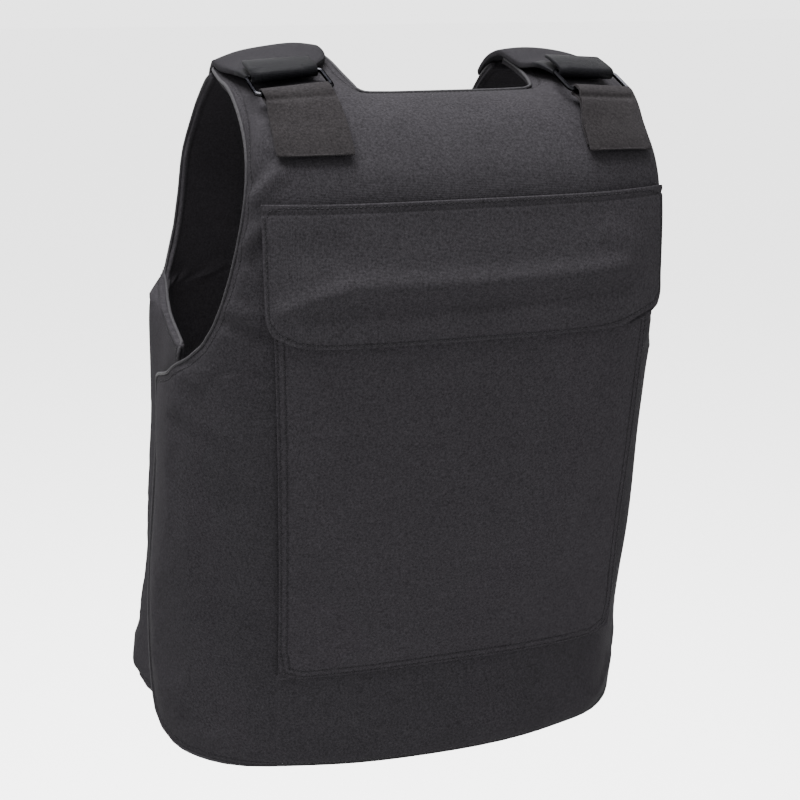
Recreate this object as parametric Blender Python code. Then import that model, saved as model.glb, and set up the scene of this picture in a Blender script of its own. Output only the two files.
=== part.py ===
"""Padded tactical vest, held in the form that it has when it is worn.

Metres, +Z up. +X is to the right and +Y into the depth when the side with the big pocket is faced, so
that side, the back of the vest, looks along -Y. The origin lies midway between the shoulders, at the
height of the straps' highest part.

Both panels wrap one torso. A place on it is given by an angle round the torso, 0 at the middle of the
back and 180 degrees at the middle of the front, and by a level. A level below the neck is a height. Past
the neck it goes on as the distance along the shoulder.
"""

import math
from collections import namedtuple

import bmesh
import bpy
from mathutils import Vector

# Clearance between the wings, which lie on each other on the real vest
WING_GAP = 0.0016

# The torso inside the vest. Each row is a level: the half-widths to the left and right, the depths
# behind (near) and before (far) the side line, and how square the corners are, 2 being an ellipse.
SIDE_LINE_Y = 0.030
NEARLY_ONE = 0.999
Torso = namedtuple("Torso", "height left right near far corner")
TORSO = (
    Torso(-0.560, 0.215, 0.174, 0.128, 0.100, 2.4),
    Torso(-0.470, 0.215, 0.174, 0.119, 0.098, 2.9),
    Torso(-0.390, 0.2085, 0.170, 0.126, 0.096, 3.8),
    Torso(-0.300, 0.198, 0.167, 0.138, 0.098, 4.5),
    Torso(-0.215, 0.193, 0.169, 0.148, 0.101, 4.6),
    Torso(-0.150, 0.190, 0.172, 0.154, 0.102, 4.4),
    Torso(-0.090, 0.187, 0.176, 0.158, 0.100, 4.1),
    Torso(-0.064, 0.186, 0.177, 0.147, 0.098, 3.9),
    Torso(-0.043, 0.185, 0.178, 0.124, 0.094, 3.7),
    Torso(-0.0345, 0.184, 0.178, 0.109, 0.091, 3.6),
    Torso(-0.0270, 0.184, 0.178, 0.093, 0.089, 3.5),
)

# The way over the shoulders, from each panel's neck line: distance gone, and how far that leads
# along Y and up.
Over = namedtuple("Over", "run forward up")
NEAR_NECK = -0.027
NEAR_OVER = (
    Over(0.000, 0.0000, 0.0000),
    Over(0.012, 0.0110, 0.0048),
    Over(0.030, 0.0281, 0.0105),
    Over(0.055, 0.0520, 0.0172),
    Over(0.085, 0.0815, 0.0215),
    Over(0.102, 0.0985, 0.0218),
)
FAR_NECK = -0.090
FAR_OVER = (
    Over(0.000, 0.000, 0.0000),
    Over(0.030, -0.010, 0.0280),
    Over(0.060, -0.029, 0.0520),
    Over(0.090, -0.054, 0.0700),
    Over(0.118, -0.081, 0.0815),
)
SHOULDER_ROUNDS = 1.6
SHOULDER_ROUNDS_PAST_X = 0.070
SHOULDER_FLATTENS_BY = 0.060
SHOULDER_FLATTENS = 0.6
RIGHT_SHOULDER_LOWER = 0.0055

# Padding: full thickness in the middle of a panel, thin at the wings, the shoulders and every edge.
# The angles say where round the torso a panel starts to thin towards its wings, and where it is thin.
PAD = 0.015
FAR_PAD = 0.013
WING = 0.006
SHOULDER_PAD = 0.007
SHOULDER_THINS_FROM = 0.015
SHOULDER_THINS_OVER = 0.040
EDGE = 0.005
EDGE_ROLL = 0.022

# Outline of the back panel: by level, the X of the armhole's edge and of the neck's edge on each side,
# then the wings, which reach round to one line and whose tops fall away towards it
HEM = -0.550
HEM_CORNER = 0.034
Edge = namedtuple("Edge", "level left right")
Wing = namedtuple("Wing", "top root_y end_y droop hem")
WING_DROOP_FADES = 0.110
NEAR_WING = Wing(-0.222, -0.052, 0.008, 0.019, HEM)
NEAR_ARMHOLE = (
    Edge(-0.222, 0.1930, 0.1680),
    Edge(-0.214, 0.1890, 0.1670),
    Edge(-0.200, 0.1800, 0.1645),
    Edge(-0.178, 0.1700, 0.1620),
    Edge(-0.150, 0.1610, 0.1590),
    Edge(-0.106, 0.1510, 0.1560),
    Edge(-0.070, 0.1450, 0.1520),
    Edge(-0.045, 0.1440, 0.1495),
    Edge(-0.010, 0.1480, 0.1490),
    Edge(0.080, 0.1490, 0.1505),
)
NEAR_NECK_EDGE = (
    Edge(NEAR_NECK, 0.0580, 0.0720),
    Edge(0.010, 0.0650, 0.0770),
    Edge(0.080, 0.0700, 0.0800),
)
NEAR_THIN = (46.0, 64.0)
NEAR_END = NEAR_NECK + 0.090

# Outline of the front panel, whose wings lie inside the back panel's
FAR_HEM = -0.532
FAR_WING = Wing(-0.195, 0.052, -0.052, 0.006, FAR_HEM)
FAR_NECK_EDGE = (
    Edge(FAR_NECK, 0.080, 0.080),
    Edge(0.030, 0.076, 0.082),
)
FAR_ARMHOLE = (
    Edge(-0.195, 0.191, 0.171),
    Edge(-0.184, 0.187, 0.170),
    Edge(-0.168, 0.180, 0.168),
    Edge(-0.145, 0.173, 0.167),
    Edge(-0.115, 0.168, 0.166),
    Edge(-0.090, 0.165, 0.165),
    Edge(-0.050, 0.158, 0.162),
    Edge(0.000, 0.150, 0.160),
    Edge(0.030, 0.147, 0.160),
)
FAR_THIN = (104.0, 87.0)
FAR_END = FAR_NECK + 0.112
FAR_HEM_FLARE = 0.018
HEM_FLARE_FROM_Y = 0.012
HEM_FLARE_OVER = 0.040
HEM_FLARE_FROM = -0.410
HEM_FLARE_DOWN = 0.120

# Where the back panel stands off the torso, to clear the front panel's wings
ROOM_FROM_Y = -0.088
ROOM_GROWS_OVER = 0.026
ROOM_FROM = -0.148
ROOM_GROWS_DOWN = 0.044

# Dents and folds of the back panel. Each row has its middle, half its length, its width, its angle from
# level, and how far it stands out, or in where negative.
Fold = namedtuple("Fold", "x level reach width angle rise")
FOLDS = (
    Fold(-0.139, -0.062, 0.024, 0.009, 100.0, 0.0030),
    Fold(-0.154, -0.108, 0.020, 0.009, 40.0, 0.0022),
    Fold(-0.166, -0.196, 0.026, 0.009, -10.0, -0.0024),
    Fold(-0.176, -0.275, 0.030, 0.012, 24.0, 0.0020),
    Fold(0.160, -0.215, 0.030, 0.010, -48.0, 0.0020),
    Fold(-0.060, -0.517, 0.080, 0.012, 3.0, 0.0018),
    Fold(0.090, -0.510, 0.070, 0.012, 6.0, 0.0018),
)

# Pocket and flap. LAY is how far cloth lies off the cloth beneath it.
LAY = 0.0015
POCKET_SIDES = (-0.132, 0.137)
POCKET_TOP = -0.143
POCKET_BOTTOM = -0.463
POCKET_WALL = 0.0020
POCKET_GAPE = 0.0090
POCKET_GAPE_DEPTH = 0.150
FLAP_SIDES = (-0.136, 0.142)
FLAP_TOP = -0.0885
FLAP_BOTTOM = -0.1810
FLAP_CORNER = 0.018
FLAP_WALL = 0.0028
FLAP_STRIP = 0.007
FLAP_LIFT = 0.0030

# Shoulder fastenings. Places along the shoulder are measured from the buckle's lower bar. Each buckle
# has a level, a turn about the vertical and a tilt of its bars, in degrees.
BUCKLE_X = {-1: -0.1070, 1: 0.1115}
BUCKLE_LEVEL = {-1: -0.0355, 1: -0.0400}
BUCKLE_TURN = {-1: 8.0, 1: 14.0}
BUCKLE_TILT = {-1: 4.0, 1: -4.5}
BUCKLE_PITCH = 0.025
BUCKLE_INSIDE = 0.0515
BUCKLE_CLEAR = 0.0012
WIRE = 0.0033
WIRE_CORNER = 0.0030
STRAP_REACHES_BELOW_NECK = 0.020
LOWER_BAR_LIFT = 0.0045
UPPER_BAR_LIFT = 0.0070
LOOP_CLEARANCE = 0.0005
TAPE = 0.0014
TAB_HALF = 0.0242
TAB_LENGTH = {-1: 0.057, 1: 0.050}
TAB_BACK_SHORTER = 0.005
TAB_SETTLES_OVER = 0.016
WEBBING = 0.0020
TAIL_LENGTH = 0.022
TAIL_CLEAR = 0.0003
STRAP_END = 0.188
STRAP_PAD = 0.0075
STRAP_CLEAR = 0.0018
STRAP_SWELLS_OVER = 0.030
StrapWidth = namedtuple("StrapWidth", "place half")
STRAP_WIDTHS = (
    StrapWidth(0.031, TAB_HALF),
    StrapWidth(0.046, 0.0310),
    StrapWidth(0.068, 0.0370),
    StrapWidth(0.096, 0.0385),
    StrapWidth(0.130, 0.0365),
    StrapWidth(STRAP_END, 0.0330),
)

# Tabs and straps follow the buckle's straight frame near its bars and lie on the panels away from it.
# The drifts are how far to the right they have moved by then. The crown is the share of a strap's
# padding that is missing along its side edges.
TAB_LIES_PAST = 0.004
TAB_LIES_OVER = 0.026
STRAP_LIES_PAST = 0.010
STRAP_LIES_OVER = 0.035
TAB_DRIFT = {-1: 0.0060, 1: 0.0010}
STRAP_DRIFT = {-1: -0.0030, 1: 0.0020}
DRIFT_OVER = 0.030
STRAP_CROWN = 0.5

# A row of a strap or tab: how far along the shoulder, how high, how thick and half its width
Band = namedtuple("Band", "place lift thick half")

# How finely the solids are divided
SIDE_COLUMNS = 8
SIDE_FINENESS = 1.2
WING_COLUMNS = 4
MIDDLE_COLUMNS = 6
PATCH_ROWS = 13
PATCH_COLUMNS = 17
RIBBON_COLUMNS = 6
LOOP_STEPS = 8
TAB_BACK_STEPS = 5
TAB_FRONT_STEPS = 6
TAIL_STEPS = 3
STRAP_STEPS = 12
LINE_STEPS = 40
WIRE_CORNER_STEPS = 4
NEAR_LEVELS = (
    HEM, -0.545, -0.535, -0.520, -0.500, -0.475, -0.450, -0.420, -0.390, -0.360, -0.330, -0.300,
    -0.275, -0.255, -0.240, -0.229, -0.222, -0.214, -0.204, -0.192, -0.178, -0.160, -0.140,
    -0.120, -0.102, -0.088, -0.076, -0.066, -0.057, -0.050, -0.043, -0.037, -0.032, NEAR_NECK,
    -0.022, -0.016, -0.008, 0.002, 0.013, 0.025, 0.037, 0.048, 0.056, NEAR_END,
)
FAR_LEVELS = (
    FAR_HEM, -0.527, -0.518, -0.505, -0.485, -0.455, -0.420, -0.375, -0.330, -0.290, -0.255, -0.235,
    -0.215, -0.203, -0.195, -0.184, -0.168, -0.145, -0.115, FAR_NECK, -0.080, -0.065, -0.045,
    -0.025, -0.005, 0.012, FAR_END,
)

PANEL_FABRIC = dict(color=(0.034, 0.033, 0.036), roughness=0.85)
FLAP_FABRIC = dict(color=(0.037, 0.036, 0.039), roughness=0.85)
TAPE_FABRIC = dict(color=(0.045, 0.041, 0.040), roughness=0.95)
STRAP_FABRIC = dict(color=(0.034, 0.033, 0.037), roughness=0.80)
METAL = dict(color=(0.030, 0.030, 0.032), roughness=0.35, metallic=1.0)

Frame = namedtuple("Frame", "origin across along up")


def clear_scene():
    for obj in list(bpy.data.objects):
        bpy.data.objects.remove(obj, do_unlink=True)


def principled(name, color, roughness, metallic=0.0):
    material = bpy.data.materials.new(name)
    material.use_nodes = True
    shader = material.node_tree.nodes["Principled BSDF"]
    shader.inputs["Base Color"].default_value = (*color, 1.0)
    shader.inputs["Roughness"].default_value = roughness
    shader.inputs["Metallic"].default_value = metallic
    return material


def smooth(value):
    """0 below 0, 1 above 1, with a soft start and end."""
    value = min(max(value, 0.0), 1.0)
    return value * value * (3.0 - 2.0 * value)


def read(table, at):
    """The table's row at this place in its first column, on a smooth curve through the rows."""
    places = [entry[0] for entry in table]
    at = min(max(at, places[0]), places[-1])
    after = next(i for i in range(1, len(table)) if at <= places[i])
    rows = [table[max(after - 2, 0)], table[after - 1], table[after], table[min(after + 1, len(table) - 1)]]
    span = places[after] - places[after - 1]
    part = (at - places[after - 1]) / span
    values = []
    for before, start, end, beyond in zip(*rows):
        slope_in = (end - before) * span / (rows[2][0] - rows[0][0])
        slope_out = (beyond - start) * span / (rows[3][0] - rows[1][0])
        values.append(
            start * (1 + 2 * part) * (1 - part) ** 2
            + slope_in * part * (1 - part) ** 2
            + end * part**2 * (3 - 2 * part)
            - slope_out * part**2 * (1 - part)
        )
    return type(table[0])(*values)


def section_point(angle, row):
    """X and Y of a torso section in this direction from its middle."""
    sine, cosine = math.sin(angle), math.cos(angle)
    half = row.right if sine > 0 else row.left
    depth = row.near if cosine > 0 else row.far
    power = row.corner
    radius = (abs(sine / half) ** power + abs(cosine / depth) ** power) ** (-1 / power)
    return radius * sine, SIDE_LINE_Y - radius * cosine


def angle_of_x(x, level, far=False):
    """The angle at which the section at this level has this X."""
    row = read(TORSO, min(level, FAR_NECK if far else NEAR_NECK))
    half = row.right if x > 0 else row.left
    depth = -row.far if far else row.near
    share = min(abs(x) / half, NEARLY_ONE)
    return math.atan2(x, depth * (1 - share**row.corner) ** (1 / row.corner))


def angle_of_y(y, level, side):
    """The angle at which the section at this level has this Y, on the side of this sign."""
    row = read(TORSO, level)
    half = row.right if side > 0 else row.left
    depth = row.near if y < SIDE_LINE_Y else row.far
    share = min(abs(SIDE_LINE_Y - y) / depth, NEARLY_ONE)
    x = half * (1 - share**row.corner) ** (1 / row.corner)
    return math.atan2(side * x, SIDE_LINE_Y - y)


def skin(angle, level):
    """A point of the torso's surface."""
    far = math.cos(angle) < 0
    neck, over = (FAR_NECK, FAR_OVER) if far else (NEAR_NECK, NEAR_OVER)
    row = read(TORSO, min(level, neck))
    x, y = section_point(angle, row)
    run = level - neck
    if run <= 0:
        return Vector((x, y, level))
    step = read(over, run)
    flat = smooth(run / SHOULDER_FLATTENS_BY)
    middle_y = section_point(math.pi if far else 0.0, row)[1]
    y = middle_y + (y - middle_y) * (1 - SHOULDER_FLATTENS * flat)
    drop = SHOULDER_ROUNDS * max(abs(x) - SHOULDER_ROUNDS_PAST_X, 0.0) ** 2
    if x > 0:
        drop += RIGHT_SHOULDER_LOWER
    return Vector((x, y + step.forward, neck + step.up - drop * flat))


def skin_normal(angle, level):
    """Outward direction of the torso's surface."""
    step_angle, step_level = 0.01, 0.001
    across = skin(angle + step_angle, level) - skin(angle - step_angle, level)
    along = skin(angle, level + step_level) - skin(angle, level - step_level)
    return across.cross(along).normalized()


def folds_at(x, level):
    """How far the folds lift the back panel's face here."""
    rise = 0.0
    for fold in FOLDS:
        slope = math.radians(fold.angle)
        dx, dz = x - fold.x, level - fold.level
        along = dx * math.cos(slope) + dz * math.sin(slope)
        across = -dx * math.sin(slope) + dz * math.cos(slope)
        rise += fold.rise * math.exp(-((along / fold.reach) ** 2) - (across / fold.width) ** 2)
    return rise


def edge_x(table, level, side):
    """How far from the vest's middle an outline is at this level, on the side of this sign."""
    edge = read(table, level)
    return edge.right if side > 0 else edge.left


def edge_distance(point, level, neck, neck_edge, armhole, wing, end):
    """Distance from a panel's nearest edge, for a point of the torso under it."""
    toward_end = 1 if wing.end_y > wing.root_y else -1
    along_wing = (point.y - wing.root_y) / (wing.end_y - wing.root_y)
    under_top = wing.top - wing.droop * min(max(along_wing, 0.0), 1.0) - level
    if level > wing.top:
        side = edge_x(armhole, level, point.x) - abs(point.x)
    else:
        past_root = max((wing.root_y - point.y) * toward_end, 0.0)
        side = min((wing.end_y - point.y) * toward_end, math.hypot(past_root, max(under_top, 0.0)))
    across, down = abs(point.x) - edge_x(neck_edge, level, point.x), neck - level
    if across <= 0:
        mouth = down
    else:
        mouth = across if down <= 0 else math.hypot(across, down)
    return max(min(side, mouth, level - wing.hem, end - level), 0.0)


def padded(full, thin_turns, angle, level, neck, distance):
    """Thickness of a panel where it is this far from its nearest edge."""
    start, thin = thin_turns
    turn = math.degrees(abs(math.remainder(angle, 2 * math.pi)))
    thick = full + (WING - full) * smooth((turn - start) / (thin - start))
    thick += (SHOULDER_PAD - thick) * smooth((level - neck + SHOULDER_THINS_FROM) / SHOULDER_THINS_OVER)
    roll = math.sqrt(1 - (1 - min(distance / EDGE_ROLL, 1.0)) ** 2)
    return EDGE + (thick - EDGE) * roll


def near_layer(angle, level):
    """Inner and outer point of the back panel, and the direction between them."""
    point = skin(angle, level)
    normal = skin_normal(angle, level)
    distance = edge_distance(point, level, NEAR_NECK, NEAR_NECK_EDGE, NEAR_ARMHOLE, NEAR_WING, NEAR_END)
    room = (WING + WING_GAP) * smooth((point.y - ROOM_FROM_Y) / ROOM_GROWS_OVER)
    room = room * smooth((ROOM_FROM - level) / ROOM_GROWS_DOWN)
    thick = padded(PAD, NEAR_THIN, angle, level, NEAR_NECK, distance)
    rise = folds_at(point.x, level) * smooth(distance / EDGE_ROLL)
    return point + normal * room, point + normal * (room + thick + rise), normal


def far_layer(angle, level):
    """Inner and outer point of the front panel, and the direction between them."""
    point = skin(angle, level)
    normal = skin_normal(angle, level)
    distance = edge_distance(point, level, FAR_NECK, FAR_NECK_EDGE, FAR_ARMHOLE, FAR_WING, FAR_END)
    thick = padded(FAR_PAD, FAR_THIN, angle, level, FAR_NECK, distance)
    flare = smooth((point.y - HEM_FLARE_FROM_Y) / HEM_FLARE_OVER) * FAR_HEM_FLARE
    flare = flare * smooth((HEM_FLARE_FROM - level) / HEM_FLARE_DOWN)
    return point + normal * flare, point + normal * (flare + thick), normal


def near_face(x, level, lift):
    """A point this far off the back panel's outer face."""
    _, outer, normal = near_layer(angle_of_x(x, level), level)
    return outer + normal * lift


def far_face(x, level, lift):
    """A point this far off the front panel's outer face."""
    _, outer, normal = far_layer(angle_of_x(x, level, far=True), level)
    return outer + normal * lift


def hem_corner_inset(level, hem):
    """How far the wings' ends are drawn in where the corners of the hem are round."""
    up = min(level - hem, HEM_CORNER)
    return HEM_CORNER - math.sqrt(HEM_CORNER**2 - (HEM_CORNER - up) ** 2)


def steps(start, end, count, fineness=1.0):
    """Values from start to end, closer together near the start where fineness is over 1."""
    return [start + (end - start) * (i / count) ** fineness for i in range(count + 1)]


def half_angles(level, side, wing, armhole, neck_edge, far):
    """Angles of one side's columns, from the wing's end to the column at the neck's corner."""
    inner = angle_of_x(side * edge_x(neck_edge, level, side), level, far)
    if level > wing.top:
        root = angle_of_x(side * edge_x(armhole, level, side), level, far)
        end = root
    else:
        inset = hem_corner_inset(level, wing.hem) * (1 if wing.end_y > wing.root_y else -1)
        root = angle_of_y(wing.root_y, level, side)
        end = angle_of_y(wing.end_y - inset, level, side)
    return steps(end, root, WING_COLUMNS)[:-1] + steps(root, inner, SIDE_COLUMNS, SIDE_FINENESS)


def near_angles(level):
    left = half_angles(level, -1, NEAR_WING, NEAR_ARMHOLE, NEAR_NECK_EDGE, far=False)
    right = half_angles(level, 1, NEAR_WING, NEAR_ARMHOLE, NEAR_NECK_EDGE, far=False)
    return left[:-1] + steps(left[-1], right[-1], MIDDLE_COLUMNS) + right[-2::-1]


def far_angles(level):
    right = half_angles(level, 1, FAR_WING, FAR_ARMHOLE, FAR_NECK_EDGE, far=True)
    left = half_angles(level, -1, FAR_WING, FAR_ARMHOLE, FAR_NECK_EDGE, far=True)
    left = [angle + 2 * math.pi for angle in left]
    return right[:-1] + steps(right[-1], left[-1], MIDDLE_COLUMNS) + left[-2::-1]


def mesh_object(name, bm, look):
    bmesh.ops.recalc_face_normals(bm, faces=bm.faces)
    mesh = bpy.data.meshes.new(name)
    bm.to_mesh(mesh)
    bm.free()
    mesh.shade_smooth()
    mesh.set_sharp_from_angle(angle=math.radians(50))
    mesh.materials.append(principled(name, **look))
    obj = bpy.data.objects.new(name, mesh)
    bpy.context.scene.collection.objects.link(obj)
    return obj


def slab(name, inner, outer, cells, look):
    """A closed solid between two grids of points, over those cells of the grid that are listed."""
    bm = bmesh.new()
    used = sorted({(r + i, c + j) for r, c in cells for i in (0, 1) for j in (0, 1)})
    low = {key: bm.verts.new(inner[key]) for key in used}
    high = {key: bm.verts.new(outer[key]) for key in used}
    open_sides = {}
    for r, c in sorted(cells):
        ring = [(r, c), (r, c + 1), (r + 1, c + 1), (r + 1, c)]
        bm.faces.new([high[key] for key in ring])
        bm.faces.new([low[key] for key in reversed(ring)])
        for start, end in zip(ring, ring[1:] + ring[:1]):
            if open_sides.pop((end, start), None) is None:
                open_sides[start, end] = True
    for start, end in open_sides:
        bm.faces.new([low[start], low[end], high[end], high[start]])
    return mesh_object(name, bm, look)


def full_cells(rows, columns):
    return {(r, c) for r in range(rows - 1) for c in range(columns - 1)}


def wing_droop(wing, level, from_side):
    """How far a wing's top pulls this level down, in the column this far from the panel's side edge."""
    if level > wing.top:
        return 0.0
    toward_end = max(1 - from_side / WING_COLUMNS, 0.0)
    return wing.droop * toward_end * smooth(1 - (wing.top - level) / WING_DROOP_FADES)


def panel(name, layer, angles, levels, neck, wing):
    """A padded panel, without the cells over its neck opening and its armholes."""
    inner, outer = {}, {}
    columns = len(angles(levels[0]))
    for r, level in enumerate(levels):
        for c, angle in enumerate(angles(level)):
            droop = wing_droop(wing, level, min(c, columns - 1 - c))
            inner[r, c], outer[r, c], _ = layer(angle, level - droop)
    side = WING_COLUMNS + SIDE_COLUMNS
    cells = set()
    for r, c in full_cells(len(levels), columns):
        over_neck = levels[r] >= neck and side <= c < side + MIDDLE_COLUMNS
        over_arm = levels[r] >= wing.top and not WING_COLUMNS <= c < columns - 1 - WING_COLUMNS
        if not over_neck and not over_arm:
            cells.add((r, c))
    return slab(name, inner, outer, cells, PANEL_FABRIC)


def patch(name, place, thick, look):
    """A sheet of cloth on the back panel. place(up, across) gives its X, level and lift."""
    inner, outer = {}, {}
    for r, up in enumerate(steps(0.0, 1.0, PATCH_ROWS - 1)):
        for c, across in enumerate(steps(0.0, 1.0, PATCH_COLUMNS - 1)):
            x, level, lift = place(up, across)
            inner[r, c] = near_face(x, level, lift)
            outer[r, c] = near_face(x, level, lift + thick)
    return slab(name, inner, outer, full_cells(PATCH_ROWS, PATCH_COLUMNS), look)


def pocket_lift(x, level):
    """How far the pocket's cloth stands off the panel: nothing at its seams, most at its mouth."""
    share = min(abs(x / POCKET_SIDES[x > 0]), 1.0)
    across = math.sqrt(1 - share**4)
    down = smooth(1 - (POCKET_TOP - level) / POCKET_GAPE_DEPTH)
    return LAY + POCKET_GAPE * across * down


def flap_lift(x, level):
    """How far the flap stands off the panel: it climbs to the pocket's mouth and hangs over the pocket."""
    climb = (FLAP_TOP - FLAP_STRIP - level) / (FLAP_TOP - FLAP_STRIP - POCKET_TOP)
    climb = min(max(climb, 0.0), 1.0)
    over_pocket = pocket_lift(x, min(level, POCKET_TOP)) + POCKET_WALL
    hang = FLAP_LIFT * smooth((POCKET_TOP - level) / (POCKET_TOP - FLAP_BOTTOM))
    return LAY + climb * over_pocket + hang


def back_pocket():
    def place(up, across):
        x = POCKET_SIDES[0] + (POCKET_SIDES[1] - POCKET_SIDES[0]) * across
        level = POCKET_BOTTOM + (POCKET_TOP - POCKET_BOTTOM) * up
        return x, level, pocket_lift(x, level)

    return patch("back_pocket", place, POCKET_WALL, PANEL_FABRIC)


def pocket_flap():
    def place(up, across):
        level = FLAP_BOTTOM + (FLAP_TOP - FLAP_BOTTOM) * up
        rise = min(level - FLAP_BOTTOM, FLAP_CORNER)
        inset = FLAP_CORNER - math.sqrt(FLAP_CORNER**2 - (FLAP_CORNER - rise) ** 2)
        left, right = FLAP_SIDES[0] + inset, FLAP_SIDES[1] - inset
        x = left + (right - left) * across
        return x, level, flap_lift(x, level)

    return patch("pocket_flap", place, FLAP_WALL, FLAP_FABRIC)


def shoulder_line(x):
    """Points along a shoulder at this X, over both panels, and how far each is from the lower bar."""
    bar_level = BUCKLE_LEVEL[1 if x > 0 else -1]
    near_levels = steps(bar_level - TAB_LENGTH[-1], bar_level, LINE_STEPS)
    near_levels += steps(bar_level, NEAR_END, LINE_STEPS)[1:]
    far_levels = steps(FAR_END, FAR_NECK - STRAP_REACHES_BELOW_NECK, LINE_STEPS)
    near = [near_face(x, level, 0.0) for level in near_levels]
    far = [far_face(x, level, 0.0) for level in far_levels]
    points = near + far
    gone = [0.0]
    for before, after in zip(points, points[1:]):
        gone.append(gone[-1] + math.hypot(after.y - before.y, after.z - before.z))
    return points, [distance - gone[LINE_STEPS] for distance in gone]


def on_shoulder(line, place, lift):
    """A point at this place along a shoulder line and this far off it."""
    points, gone = line
    after = next((i for i in range(1, len(gone)) if gone[i] >= place), len(gone) - 1)
    part = (place - gone[after - 1]) / (gone[after] - gone[after - 1])
    point = points[after - 1].lerp(points[after], part)
    ahead = points[min(after + 2, len(points) - 1)] - points[max(after - 3, 0)]
    normal = Vector((0.0, -ahead.z, ahead.y)).normalized()
    return point + normal * lift


def shoulder_frame(side):
    """The buckle's own straight frame: along its bars, up the shoulder, and off it."""
    line = shoulder_line(BUCKLE_X[side])
    origin = on_shoulder(line, 0.0, BUCKLE_CLEAR)
    ahead = on_shoulder(line, BUCKLE_PITCH, BUCKLE_CLEAR) - origin
    climb = math.atan2(ahead.z, ahead.y)
    turn, tilt = math.radians(BUCKLE_TURN[side]), math.radians(BUCKLE_TILT[side])
    level_ahead = Vector((-math.sin(turn), math.cos(turn), 0.0))
    across = Vector((math.cos(turn) * math.cos(tilt), math.sin(turn) * math.cos(tilt), math.sin(tilt)))
    along = level_ahead * math.cos(climb) + across.cross(level_ahead) * math.sin(climb)
    return Frame(origin, across, along, across.cross(along))


def drift(side, place):
    """How far across a band's middle is from the buckle's at this place."""
    full = (STRAP_DRIFT if place > 0 else TAB_DRIFT)[side]
    return full * (1 - math.exp(-abs(place) / DRIFT_OVER))


def laid_share(place):
    """0 where a band follows the buckle's straight frame, 1 where it lies on the panels."""
    if place > BUCKLE_PITCH / 2:
        return smooth((place - BUCKLE_PITCH - STRAP_LIES_PAST) / STRAP_LIES_OVER)
    return smooth((-place - TAB_LIES_PAST) / TAB_LIES_OVER)


def ribbon(name, side, rows, look):
    """A band along a shoulder, straight at the buckle and laid on the panels away from it."""
    frame = shoulder_frame(side)
    inner, outer = {}, {}
    for r, row in enumerate(rows):
        before, after = rows[max(r - 1, 0)], rows[min(r + 1, len(rows) - 1)]
        run, climb = after.place - before.place, after.lift - before.lift
        length = math.hypot(run, climb)
        for c, off_middle in enumerate(steps(-row.half, row.half, RIBBON_COLUMNS - 1)):
            line = shoulder_line(BUCKLE_X[side] + off_middle + drift(side, row.place))
            thinner = STRAP_CROWN * max(row.thick - WEBBING, 0.0) * (off_middle / row.half) ** 4
            for grid, half_thick in ((inner, -row.thick / 2), (outer, row.thick / 2 - thinner)):
                place = row.place - climb / length * half_thick
                lift = row.lift + run / length * half_thick
                straight = frame.origin + frame.across * off_middle
                straight = straight + frame.along * place + frame.up * lift
                grid[r, c] = straight.lerp(on_shoulder(line, place, lift), laid_share(place))
    return slab(name, inner, outer, full_cells(len(rows), RIBBON_COLUMNS), look)


def loop_round(bar_place, bar_lift, thick, start, end):
    """Rows of a band round a bar, from one angle to another, 0 pointing along the shoulder."""
    radius = WIRE / 2 + LOOP_CLEARANCE + thick / 2
    rows = []
    for angle in steps(math.radians(start), math.radians(end), LOOP_STEPS):
        place, lift = bar_place + radius * math.cos(angle), bar_lift + radius * math.sin(angle)
        rows.append(Band(place, lift, thick, TAB_HALF))
    return rows


def tab(name, side):
    """Tape sewn to the panel, up behind the lower bar, round it and down again."""
    length = TAB_LENGTH[side]
    behind = LAY + TAPE / 2
    before = behind + TAPE + LAY
    top = LOWER_BAR_LIFT + WIRE / 2 + LOOP_CLEARANCE + TAPE / 2
    back_places = steps(TAB_BACK_SHORTER - length, -2 * WIRE, TAB_BACK_STEPS)
    back = [Band(place, behind, TAPE, TAB_HALF) for place in back_places]
    loop = loop_round(0.0, LOWER_BAR_LIFT, TAPE, -90.0, 90.0)
    front = []
    for place in steps(-2 * WIRE, -length, TAB_FRONT_STEPS):
        settled = smooth(-place / TAB_SETTLES_OVER)
        front.append(Band(place, top + (before - top) * settled, TAPE, TAB_HALF))
    return ribbon(name, side, back + loop + front, TAPE_FABRIC)


def strap(name, side):
    """Strap with its tail on top, round the upper bar, then padded, over the shoulder to the far panel."""
    bar = BUCKLE_PITCH
    off_bar = WIRE / 2 + LOOP_CLEARANCE + WEBBING / 2
    over, under = UPPER_BAR_LIFT + off_bar + TAIL_CLEAR, UPPER_BAR_LIFT - off_bar
    laid = STRAP_CLEAR + STRAP_PAD / 2
    tail_places = steps(bar + TAIL_LENGTH, bar + WIRE, TAIL_STEPS)
    tail = [Band(place, over, WEBBING, TAB_HALF) for place in tail_places]
    loop = loop_round(bar, UPPER_BAR_LIFT, WEBBING, 90.0, 270.0)
    body = []
    for place in steps(bar + 2 * WIRE, STRAP_END, STRAP_STEPS):
        swelling = smooth((place - bar - WIRE) / STRAP_SWELLS_OVER)
        thick = WEBBING + (STRAP_PAD - WEBBING) * swelling
        body.append(Band(place, under + (laid - under) * swelling, thick, read(STRAP_WIDTHS, place).half))
    return ribbon(name, side, tail + loop + body, STRAP_FABRIC)


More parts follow.
